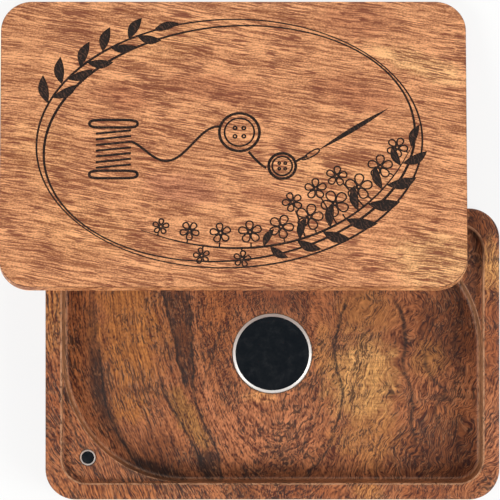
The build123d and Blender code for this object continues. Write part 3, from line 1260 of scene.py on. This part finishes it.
@dataclass
class BurntLines:
    """Collects the strokes of a burnt drawing as cutters, in the lid's own plane."""

    depth: float = 0.2
    line_radius: float = 0.2
    thin_end: float = 0.05
    swell_turn: float = 1.1
    leaf_fullness: float = 0.66
    leaf_reach: float = 0.38
    petal_foot: float = 0.55
    petal_swell: float = 0.45
    loop_points: int = 12
    section_steps: int = 2
    line_steps: int = 4
    leaf_steps: int = 10

    def __post_init__(self) -> None:
        """Start with an empty drawing."""
        self.cutters: list[bpy.types.Object] = []

    def stroke(
        self,
        points: list[tuple[float, float]],
        radius: float | None = None,
        closed: bool = False,
        taper: bool = False,
        swell: float = 0.0,
    ) -> None:
        """Add a line whose section is the round foot of the beam.

        Args:
            points: Places along the line, in millimetres.
            radius: Half the line's width.
            closed: Whether the line runs back to its start.
            taper: Whether both ends run out thin.
            swell: How much wider the line gets and loses again round a closed line.
        """
        curve = bpy.data.curves.new("burnt_line", "CURVE")
        curve.dimensions = "3D"
        curve.bevel_depth = (radius or self.line_radius) * MM
        curve.bevel_resolution = self.section_steps
        curve.use_fill_caps = True
        spline = curve.splines.new("NURBS")
        spline.points.add(len(points) - 1)
        last = len(points) - 1
        for i, (x, y) in enumerate(points):
            spline.points[i].co = (x * MM, y * MM, 0.0, 1.0)
            share = i / last
            thin = math.sqrt(max(math.sin(math.pi * share), self.thin_end)) if taper else 1.0
            wider = swell * math.cos(2 * FULL_TURN * share + self.swell_turn)
            spline.points[i].radius = thin * (1 + wider)
        spline.order_u = 3
        spline.use_cyclic_u = closed
        spline.use_endpoint_u = not closed
        spline.resolution_u = self.line_steps
        self.cutters.append(linked_object("burnt_line", curve))

    def leaf(self, base: Vector, angle: float, length: float, width: float, bend: float) -> None:
        """Add a filled leaf, pointed at both ends.

        Args:
            base: Where the leaf meets its stem.
            angle: The way it points, in radians from +X.
            length: From base to tip.
            width: Across its middle.
            bend: How far its middle bows to the left, as a share of its length.
        """
        curve = bpy.data.curves.new("burnt_leaf", "CURVE")
        curve.dimensions = "2D"
        curve.fill_mode = "BOTH"
        curve.extrude = self.depth * MM
        spline = curve.splines.new("BEZIER")
        spline.bezier_points.add(1)
        ahead = Vector((math.cos(angle), math.sin(angle)))
        left = Vector((-ahead.y, ahead.x))
        tip = base + ahead * length
        bow = left * bend * length
        side = left * width * self.leaf_fullness
        reach = ahead * length * self.leaf_reach
        ends = (
            (base, base + reach + bow - side, base + reach + bow + side),
            (tip, tip - reach + bow + side, tip - reach + bow - side),
        )
        for point, (place, before, after) in zip(spline.bezier_points, ends):
            point.handle_left_type = "FREE"
            point.handle_right_type = "FREE"
            point.co = (place.x * MM, place.y * MM, 0.0)
            point.handle_left = (before.x * MM, before.y * MM, 0.0)
            point.handle_right = (after.x * MM, after.y * MM, 0.0)
        spline.use_cyclic_u = True
        spline.resolution_u = self.leaf_steps
        self.cutters.append(linked_object("burnt_leaf", curve))

    def ring(self, centre: Vector, radius: float, line: float) -> None:
        """Add a small circle.

        Args:
            centre: The circle's centre.
            radius: Its radius.
            line: Half the line's width.
        """
        steps = [FULL_TURN * i / self.loop_points for i in range(self.loop_points)]
        points = [(centre.x + radius * math.cos(a), centre.y + radius * math.sin(a)) for a in steps]
        self.stroke(points, line, closed=True)

    def petal(self, base: Vector, angle: float, length: float, width: float) -> None:
        """Add the outline of a round-ended petal or leaf.

        Args:
            base: Where it starts.
            angle: The way it points, in radians from +X.
            length: From base to end.
            width: Across its widest part.
        """
        ahead = Vector((math.cos(angle), math.sin(angle)))
        left = Vector((-ahead.y, ahead.x))
        points = []
        for i in range(self.loop_points):
            turn = FULL_TURN * i / self.loop_points
            out = (1 - math.cos(turn)) / 2
            fullness = self.petal_foot + self.petal_swell * out
            place = base + ahead * length * out + left * width / 2 * math.sin(turn) * fullness
            points.append(tuple(place))
        self.stroke(points, closed=True)


@dataclass
class OvalFrame:
    """The double oval round the lid's middle."""

    centre: tuple[float, float] = (-1.0, 0.1)
    outer: tuple[float, float] = (48.3, 33.1)
    inner: tuple[float, float] = (46.6, 31.2)
    outer_turn: float = math.radians(2.0)
    inner_turn: float = math.radians(6.5)
    outer_line: float = 0.22
    inner_line: float = 0.27
    swell: float = 0.28
    points: int = 72

    def point(self, turn: float, inner: bool = False) -> Vector:
        """Find a place on one of the ovals.

        Args:
            turn: The way round, in radians from +X.
            inner: Whether it is the inner oval.

        Returns:
            The place in the lid's plane.
        """
        half = self.inner if inner else self.outer
        tip = self.inner_turn if inner else self.outer_turn
        x = half[0] * math.cos(turn)
        y = half[1] * math.sin(turn)
        return Vector(
            (
                self.centre[0] + x * math.cos(tip) - y * math.sin(tip),
                self.centre[1] + x * math.sin(tip) + y * math.cos(tip),
            )
        )

    def heading(self, turn: float) -> float:
        """Find the way that the outer oval runs at a place.

        Args:
            turn: The way round, in radians from +X.

        Returns:
            The heading, in radians from +X.
        """
        step = 0.01
        along = self.point(turn + step) - self.point(turn - step)
        return math.atan2(along.y, along.x)

    def draw(self, lines: BurntLines) -> None:
        """Add both ovals to the drawing.

        Args:
            lines: The drawing.
        """
        steps = [FULL_TURN * i / self.points for i in range(self.points)]
        for inner, radius in ((False, self.outer_line), (True, self.inner_line)):
            places = [tuple(self.point(turn, inner)) for turn in steps]
            lines.stroke(places, radius, closed=True, swell=self.swell)


@dataclass
class LaurelSprig:
    """A short stem with leaves on both sides, laid along the oval."""

    oval: OvalFrame
    start: float = math.radians(160.0)
    end: float = math.radians(112.0)
    stem_line: float = 0.32
    stem_steps: int = 10
    pairs: int = 5
    first_pair: float = 0.15
    pair_offset: float = 0.05
    leaf_length: float = 7.8
    leaf_shrink: float = 0.3
    outer_splay: float = 0.66
    outer_width: float = 2.6
    inner_splay: float = 0.58
    inner_width: float = 2.4
    inner_length: float = 0.94
    bend: float = 0.1
    sway: float = 0.12
    sway_step: float = 2.4
    tip_leaf: tuple[float, float, float] = (6.8, 2.2, 0.05)

    def draw(self, lines: BurntLines) -> None:
        """Add the sprig to the drawing.

        Args:
            lines: The drawing.
        """
        sweep = self.end - self.start
        steps = [self.start + sweep * i / self.stem_steps for i in range(self.stem_steps + 1)]
        lines.stroke([tuple(self.oval.point(t)) for t in steps], self.stem_line, taper=True)
        for i in range(self.pairs):
            turn = self.start + sweep * (i + self.first_pair) / self.pairs
            ahead = self.oval.heading(turn) + math.pi
            sway = self.sway * math.sin(self.sway_step * i)
            length = self.leaf_length - self.leaf_shrink * i
            outer = self.oval.point(turn)
            lines.leaf(outer, ahead + self.outer_splay + sway, length, self.outer_width, self.bend)
            inner = self.oval.point(turn - self.pair_offset)
            length *= self.inner_length
            lines.leaf(inner, ahead - self.inner_splay + sway, length, self.inner_width, -self.bend)
        lines.leaf(self.oval.point(self.end), self.oval.heading(self.end) + math.pi, *self.tip_leaf)


@dataclass(frozen=True)
class Blossom:
    """One blossom: its place along the stem and aside of it, its petals' length and its turn."""

    share: float
    aside: float
    size: float
    turn: float


@dataclass(frozen=True)
class SprayLeaf:
    """One leaf: its place along the stem, the way it splays, its length and its width."""

    share: float
    splay: float
    length: float
    width: float


@dataclass
class BlossomSpray:
    """Open five-petal blossoms and dark leaves on a stem that climbs the oval's lower right."""

    knots: tuple[tuple[float, float], ...] = ((-23.0, -23.0), (4.0, -34.0), (33.0, -26.0), (44.5, -1.0))
    stem_line: float = 0.32
    stem_steps: int = 16
    petals: int = 5
    petal_gap: float = 0.55
    petal_width: float = 0.98
    eye: tuple[float, float] = (0.42, 0.22)
    stalk_gap: float = 0.4
    shortest_stalk: float = 0.3
    leaf_bend: float = 0.12
    blossoms: tuple[Blossom, ...] = (
        Blossom(0.05, 2.6, 1.5, 0.2),
        Blossom(0.14, 3.4, 1.9, 0.9),
        Blossom(0.24, 3.9, 2.1, 1.7),
        Blossom(0.34, 4.2, 2.4, 0.4),
        Blossom(0.45, 4.5, 2.6, 1.2),
        Blossom(0.56, 4.8, 2.9, 0.1),
        Blossom(0.67, 5.0, 3.0, 0.8),
        Blossom(0.78, 4.8, 2.9, 1.5),
        Blossom(0.89, 4.2, 2.6, 0.3),
        Blossom(0.98, 3.2, 2.1, 1.1),
        Blossom(0.19, -2.6, 1.5, 0.5),
        Blossom(0.31, -2.8, 1.6, 1.4),
        Blossom(0.52, 10.0, 2.0, 0.7),
        Blossom(0.635, 10.8, 2.2, 1.6),
        Blossom(0.745, 10.6, 2.1, 0.2),
    )
    leaves: tuple[SprayLeaf, ...] = (
        SprayLeaf(0.40, -0.75, 5.6, 2.1),
        SprayLeaf(0.49, -0.65, 6.6, 2.5),
        SprayLeaf(0.58, -0.70, 7.4, 2.8),
        SprayLeaf(0.67, -0.72, 8.0, 3.0),
        SprayLeaf(0.76, -0.66, 8.2, 3.1),
        SprayLeaf(0.85, -0.62, 7.8, 2.9),
        SprayLeaf(0.94, -0.55, 7.0, 2.5),
        SprayLeaf(0.38, 0.95, 5.4, 1.9),
        SprayLeaf(0.50, 1.0, 6.2, 2.1),
        SprayLeaf(0.61, 1.0, 6.8, 2.3),
        SprayLeaf(0.72, 1.05, 7.0, 2.3),
        SprayLeaf(0.83, 1.0, 6.6, 2.2),
        SprayLeaf(0.93, 0.9, 6.0, 2.0),
        SprayLeaf(1.0, 0.1, 6.4, 2.2),
    )

    def stem(self, share: float) -> tuple[Vector, float]:
        """Find a place on the stem and the way that it runs there.

        Args:
            share: How far along, from 0 to 1.

        Returns:
            The place in the lid's plane, and the angle from +X in radians.
        """
        a, b, c, d = (Vector(knot) for knot in self.knots)
        rest = 1 - share
        place = a * rest**3 + b * 3 * rest**2 * share + c * 3 * rest * share**2 + d * share**3
        run = (b - a) * rest**2 + (c - b) * 2 * rest * share + (d - c) * share**2
        return place, math.atan2(run.y, run.x)

    def draw_blossom(self, lines: BurntLines, centre: Vector, size: float, turn: float) -> None:
        """Draw one open blossom.

        Args:
            lines: The drawing.
            centre: Its middle.
            size: The length of a petal.
            turn: How far it is turned.
        """
        for i in range(self.petals):
            angle = turn + FULL_TURN * i / self.petals
            ahead = Vector((math.cos(angle), math.sin(angle)))
            lines.petal(centre + ahead * self.petal_gap, angle, size, size * self.petal_width)
        lines.ring(centre, *self.eye)

    def draw(self, lines: BurntLines) -> None:
        """Add the spray to the drawing.

        Args:
            lines: The drawing.
        """
        steps = range(self.stem_steps + 1)
        stem = [tuple(self.stem(i / self.stem_steps)[0]) for i in steps]
        lines.stroke(stem, self.stem_line, taper=True)
        for blossom in self.blossoms:
            place, ahead = self.stem(blossom.share)
            left = Vector((-math.sin(ahead), math.cos(ahead)))
            stalk = max(abs(blossom.aside) - blossom.size - self.stalk_gap, self.shortest_stalk)
            reach = left * math.copysign(stalk, blossom.aside)
            lines.stroke([tuple(place), tuple(place + reach / 2), tuple(place + reach)])
            self.draw_blossom(lines, place + left * blossom.aside, blossom.size, blossom.turn)
        for leaf in self.leaves:
            place, ahead = self.stem(leaf.share)
            bend = math.copysign(self.leaf_bend, leaf.splay)
            lines.leaf(place, ahead + leaf.splay, leaf.length, leaf.width, bend)


@dataclass
class NeedleAndThread:
    """A thread that runs in soft waves from a spool, past two buttons, to a needle."""

    spool_centre: tuple[float, float] = (-30.0, -1.5)
    spool_size: tuple[float, float] = (11.0, 15.5)
    spool_line: float = 0.36
    flange: float = 2.0
    flange_bulge: float = 0.7
    turns: int = 7
    turn_line: float = 0.3
    turn_slope: float = 0.45
    wound_share: float = 0.4
    thread_line: float = 0.32
    thread_rise: float = 2.0
    thread_points: int = 60
    waves: float = 1.5
    wave_height: float = 6.0
    buttons: tuple[tuple[float, float, float], ...] = ((1.5, 3.0, 5.2), (12.2, -6.0, 3.5))
    button_line: float = 0.36
    inner_rim: float = 0.74
    inner_line: float = 0.24
    holes: int = 4
    hole_reach: float = 0.3
    hole_radius: float = 0.085
    hole_line: float = 0.22
    needle_eye: tuple[float, float] = (18.5, -3.5)
    needle_tip: tuple[float, float] = (39.0, 9.5)
    eye_size: tuple[float, float] = (5.2, 1.7)
    eye_back: float = 1.6
    shank_start: float = 3.2
    shank_width: float = 1.3

    def draw(self, lines: BurntLines) -> None:
        """Add the motif to the drawing.

        Args:
            lines: The drawing.
        """
        self.draw_spool(lines)
        self.draw_thread(lines)
        for x, y, radius in self.buttons:
            self.draw_button(lines, Vector((x, y)), radius)
        self.draw_needle(lines)

    def draw_spool(self, lines: BurntLines) -> None:
        """Draw the spool: two flanges, and the thread wound between them.

        Args:
            lines: The drawing.
        """
        x, y = self.spool_centre
        width, height = self.spool_size
        half = width / 2
        for side in (-1, 1):
            edge = y + side * height / 2
            inner = edge - side * self.flange
            flange = [
                (x - half, edge),
                (x, edge),
                (x + half, edge),
                (x + half + self.flange_bulge, (edge + inner) / 2),
                (x + half, inner),
                (x, inner),
                (x - half, inner),
                (x - half - self.flange_bulge, (edge + inner) / 2),
            ]
            lines.stroke(flange, self.spool_line, closed=True)
        slope = self.turn_slope
        room = height - 2 * self.flange - 2 * slope
        half = width * self.wound_share
        for i in range(self.turns):
            level = y - room / 2 + room * (i + 0.5) / self.turns
            turn = [(x - half, level - slope), (x, level), (x + half, level + slope)]
            lines.stroke(turn, self.turn_line)

    def draw_thread(self, lines: BurntLines) -> None:
        """Draw the thread from the spool's side to the needle's eye.

        Args:
            lines: The drawing.
        """
        x, y = self.spool_centre
        start = Vector((x + self.spool_size[0] * self.wound_share, y + self.thread_rise))
        end = Vector(self.needle_eye)
        points = []
        for i in range(self.thread_points + 1):
            share = i / self.thread_points
            wave = self.wave_height * math.sin(FULL_TURN * self.waves * share)
            wave *= math.sin(math.pi * share) ** 0.5
            place = start.lerp(end, share) - Vector((0.0, wave))
            hidden = any((place - Vector((x, y))).length < radius for x, y, radius in self.buttons)
            if not hidden:
                points.append(tuple(place))
            if points and (hidden or i == self.thread_points):
                if len(points) > 2:
                    lines.stroke(points, self.thread_line)
                points = []

    def draw_button(self, lines: BurntLines, centre: Vector, radius: float) -> None:
        """Draw a button with its holes.

        Args:
            lines: The drawing.
            centre: Its middle.
            radius: Its rim's radius.
        """
        lines.ring(centre, radius, self.button_line)
        lines.ring(centre, radius * self.inner_rim, self.inner_line)
        for i in range(self.holes):
            angle = FULL_TURN * (i + 0.5) / self.holes
            hole = centre + Vector((math.cos(angle), math.sin(angle))) * radius * self.hole_reach
            lines.ring(hole, radius * self.hole_radius, self.hole_line)

    def draw_needle(self, lines: BurntLines) -> None:
        """Draw the needle: a long thin leaf shape with an open eye.

        Args:
            lines: The drawing.
        """
        eye = Vector(self.needle_eye)
        tip = Vector(self.needle_tip)
        angle = math.atan2(tip.y - eye.y, tip.x - eye.x)
        ahead = Vector((math.cos(angle), math.sin(angle)))
        lines.petal(eye - ahead * self.eye_back, angle, *self.eye_size)
        shank = (tip - eye).length - self.shank_start
        lines.leaf(eye + ahead * self.shank_start, angle, shank, self.shank_width, bend=0.0)


class BoardSlot(IntEnum):
    """The material slots of the lid's top board."""

    WOOD = 0
    BURNT_LINE = 1
    SCORCHED_ARRIS = 2


@dataclass
class Lid:
    """The leaning lid: the burnt top board, and under it the CAD's board, magnets and glue."""

    length: float = 116.7
    width: float = 76.0
    thickness: float = 3.0
    corner_radius: float = 7.8
    arris: float = 0.25
    corner_segments: int = 20
    arris_segments: int = 2
    flat_limit: float = 0.5
    # Ranges of a face normal's Z that count as scorched: the lower arris, the upper one's lower facet.
    scorched: tuple[tuple[float, float], ...] = ((-0.98, -0.05), (0.05, 0.6))
    scorched_dark: str = "3b2015"
    scorched_brown: str = "6e4028"
    inner_grain_angle: float = math.radians(4.0)
    magnets: tuple[str, ...] = ("lid_magnet_front_left", "lid_magnet_back_right")
    glue_beds: tuple[str, ...] = ("lid_magnet_glue_front_left", "lid_magnet_glue_back_right")

    def __post_init__(self) -> None:
        """Work out the board's place from the frame."""
        low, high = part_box("lid_board")
        self.centre = (low + high) / 2
        self.place = Matrix.Translation(self.centre) @ Matrix.Rotation(-LID_TILT, 4, "X")

    def round_off(
        self, bm: bmesh.types.BMesh, edges: list[bmesh.types.BMEdge], width: float, segments: int
    ) -> None:
        """Round off edges of the board.

        Args:
            bm: The board's mesh, changed in place.
            edges: The edges to round.
            width: How far the rounding reaches, in millimetres.
            segments: How many facets it has.
        """
        bmesh.ops.bevel(
            bm,
            geom=edges,
            offset=width * MM,
            affect="EDGES",
            segments=segments,
            profile=0.5,
            material=-1,
        )

    def board(self) -> bpy.types.Object:
        """Model the plain board, flat, with its middle at the origin.

        Returns:
            The board, with its scorched arrises in their own material slot.
        """
        bm = bmesh.new()
        bmesh.ops.create_cube(bm, size=1.0)
        size = Vector((self.length, self.width, self.thickness)) * MM
        bmesh.ops.scale(bm, vec=size, verts=bm.verts)
        upright = [e for e in bm.edges if abs(e.verts[0].co.z - e.verts[1].co.z) > size.z / 2]
        self.round_off(bm, upright, self.corner_radius, self.corner_segments)
        flat = [f for f in bm.faces if abs(f.normal.z) > self.flat_limit]
        outline = {e for f in flat for e in f.edges}
        self.round_off(bm, list(outline), self.arris, self.arris_segments)
        for face in bm.faces:
            scorched = any(low < face.normal.z < high for low, high in self.scorched)
            face.material_index = BoardSlot.SCORCHED_ARRIS if scorched else BoardSlot.WOOD
        mesh = bpy.data.meshes.new("lid_board_blank")
        bm.to_mesh(mesh)
        bm.free()
        return linked_object("lid_board_blank", mesh)

    def engrave(self, blank: bpy.types.Object, lines: BurntLines) -> bpy.types.Mesh:
        """Sink the drawing into the board's top face.

        Args:
            blank: The plain board.
            lines: The drawing.

        Returns:
            The engraved mesh, still flat.
        """
        top = self.thickness / 2 * MM
        tools = bpy.data.collections.new("burnt_cutters")
        bpy.context.scene.collection.children.link(tools)
        for cutter in lines.cutters:
            mesh = finished_mesh(cutter, "burnt_cutter")
            close_seams(mesh)
            mesh.transform(Matrix.Translation((0.0, 0.0, top)))
            mesh.materials.clear()
            for material in blank.data.materials:
                mesh.materials.append(material)
            slots = [int(BoardSlot.BURNT_LINE)] * len(mesh.polygons)
            mesh.polygons.foreach_set("material_index", slots)
            tools.objects.link(bpy.data.objects.new("burnt_cutter", mesh))
        cut = blank.modifiers.new("burnt_lines", "BOOLEAN")
        cut.operation = "DIFFERENCE"
        cut.solver = "MANIFOLD"
        cut.operand_type = "COLLECTION"
        cut.collection = tools
        mesh = finished_mesh(blank, "lid_board_engraved")
        for tool in list(tools.objects):
            bpy.data.objects.remove(tool)
        bpy.data.collections.remove(tools)
        return mesh

    def build(self) -> None:
        """Build the engraved board in its place."""
        lines = BurntLines()
        oval = OvalFrame()
        oval.draw(lines)
        LaurelSprig(oval).draw(lines)
        BlossomSpray().draw(lines)
        NeedleAndThread().draw(lines)
        log.info("burnt drawing: %d strokes", len(lines.cutters))
        # The beam only scorched the arrises of the cut edge, so they are browner than the lines.
        finishes = {
            BoardSlot.WOOD: SandedTanWood(centre=tuple(self.centre), tilt=LID_TILT),
            BoardSlot.BURNT_LINE: CharredWood(),
            BoardSlot.SCORCHED_ARRIS: CharredWood(
                name="beam_cut_edge", dark=self.scorched_dark, brown=self.scorched_brown
            ),
        }
        blank = self.board()
        for slot in BoardSlot:
            blank.data.materials.append(finishes[slot].build())
        mesh = self.engrave(blank, lines)
        mesh.transform(self.place)
        piece = linked_object("lid_board_engraved", mesh)
        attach(piece, "lid")
        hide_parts("lid_board")
        triangles = sum(len(face.vertices) - 2 for face in mesh.polygons)
        log.info("%s: %d triangles", piece.name, triangles)

    def dress(self, plate: bpy.types.Material, glue: bpy.types.Material) -> None:
        """Finish the locating board, its magnets and the glue behind them.

        Args:
            plate: The finish of the magnets.
            glue: The finish of the glue beds.
        """
        # The same wood as the top board's, with its grain turned the other way.
        wood = SandedTanWood(name="sanded_locating_board", grain_angle=self.inner_grain_angle)
        dress("lid_inner_board", wood.build())
        for piece in self.magnets:
            dress(piece, plate)
        for piece in self.glue_beds:
            dress(piece, glue)


@dataclass(frozen=True)
class Lamp:
    """A square soft lamp: its place and side in millimetres, and its power in watts."""

    name: str
    place: tuple[float, float, float]
    side: float
    power: float

    def hang(self) -> None:
        """Hang the lamp so that it faces the box."""
        data = bpy.data.lights.new(self.name, "AREA")
        data.shape = "SQUARE"
        data.size = self.side * MM
        data.energy = self.power
        lamp = linked_object(self.name, data)
        lamp.location = Vector(self.place) * MM
        lamp.rotation_euler = (-lamp.location).to_track_quat("-Z", "Y").to_euler()


@dataclass
class Studio:
    """Plain pale floor, soft lamps and the camera straight above. Lengths are in millimetres."""

    view_centre: tuple[float, float] = (-5.6, 26.0)
    view_width: float = 125.0
    camera_height: float = 2500.0
    sensor: float = 36.0
    rim_height: float = 16.0
    clip_end: float = 100000.0
    floor_radius: float = 9000.0
    floor_sides: int = 96
    lamps: tuple[Lamp, ...] = (
        Lamp("left_lamp", (-650.0, -450.0, 950.0), 500.0, 6.0),
        Lamp("right_lamp", (750.0, -350.0, 850.0), 500.0, 6.0),
        Lamp("back_lamp", (150.0, 950.0, 900.0), 600.0, 2.4),
    )
    surround_colour: str = "bcbbb9"
    overhead_colour: str = "1e2329"
    overhead_from: float = 0.86
    overhead_full: float = 0.97

    def place_camera(self) -> None:
        """Hang a long-lens camera over the box, framed as the photograph is."""
        data = bpy.data.cameras.new("overhead_camera")
        data.sensor_width = self.sensor
        data.lens = self.sensor * (self.camera_height - self.rim_height) / self.view_width
        data.clip_end = self.clip_end * MM
        camera = linked_object("overhead_camera", data)
        x, y = self.view_centre
        camera.location = (x * MM, y * MM, self.camera_height * MM)
        bpy.context.scene.camera = camera

    def lay_floor(self) -> None:
        """Lay the round white floor."""
        bm = bmesh.new()
        radius = self.floor_radius * MM
        bmesh.ops.create_circle(bm, cap_ends=True, segments=self.floor_sides, radius=radius)
        mesh = bpy.data.meshes.new("studio_floor")
        bm.to_mesh(mesh)
        bm.free()
        mesh.materials.append(StudioFloor().build())
        floor = linked_object("studio_floor", mesh)

    def light(self) -> None:
        """Hang the lamps in a pale surround that is dark blue only straight overhead."""
        for lamp in self.lamps:
            lamp.hang()
        world = bpy.data.worlds.new("studio_surround")
        world.use_nodes = True
        tree = world.node_tree
        tree.nodes.clear()
        way = add_node(tree, "TexCoord", out="Generated")
        up = add_node(tree, "SeparateXYZ", {0: way}, out="Z")
        overhead = add_node(
            tree,
            "MapRange",
            {"Value": up, "From Min": self.overhead_from, "From Max": self.overhead_full},
            interpolation_type="SMOOTHSTEP",
        )
        colours = {0: overhead, 6: linear(self.surround_colour), 7: linear(self.overhead_colour)}
        colour = add_node(tree, "Mix", colours, out=2, data_type="RGBA")
        room = add_node(tree, "Background", {"Color": colour, "Strength": 1.0})
        add_node(tree, "OutputWorld", {"Surface": room})
        bpy.context.scene.world = world

    def build(self) -> None:
        """Set up the camera, the floor and the light."""
        self.place_camera()
        self.lay_floor()
        self.light()
        bpy.context.scene.view_settings.view_transform = "Standard"


def main() -> None:
    """Set up the studio, then build and dress the tray and the lid."""
    logging.basicConfig(level=logging.INFO, format="%(name)s: %(message)s")
    Studio().build()
    plate = NickelPlate().build()
    glue = ClearEpoxy().build()
    Tray().dress(plate, glue)
    lid = Lid()
    lid.build()
    lid.dress(plate, glue)


if __name__ == "__main__":
    main()
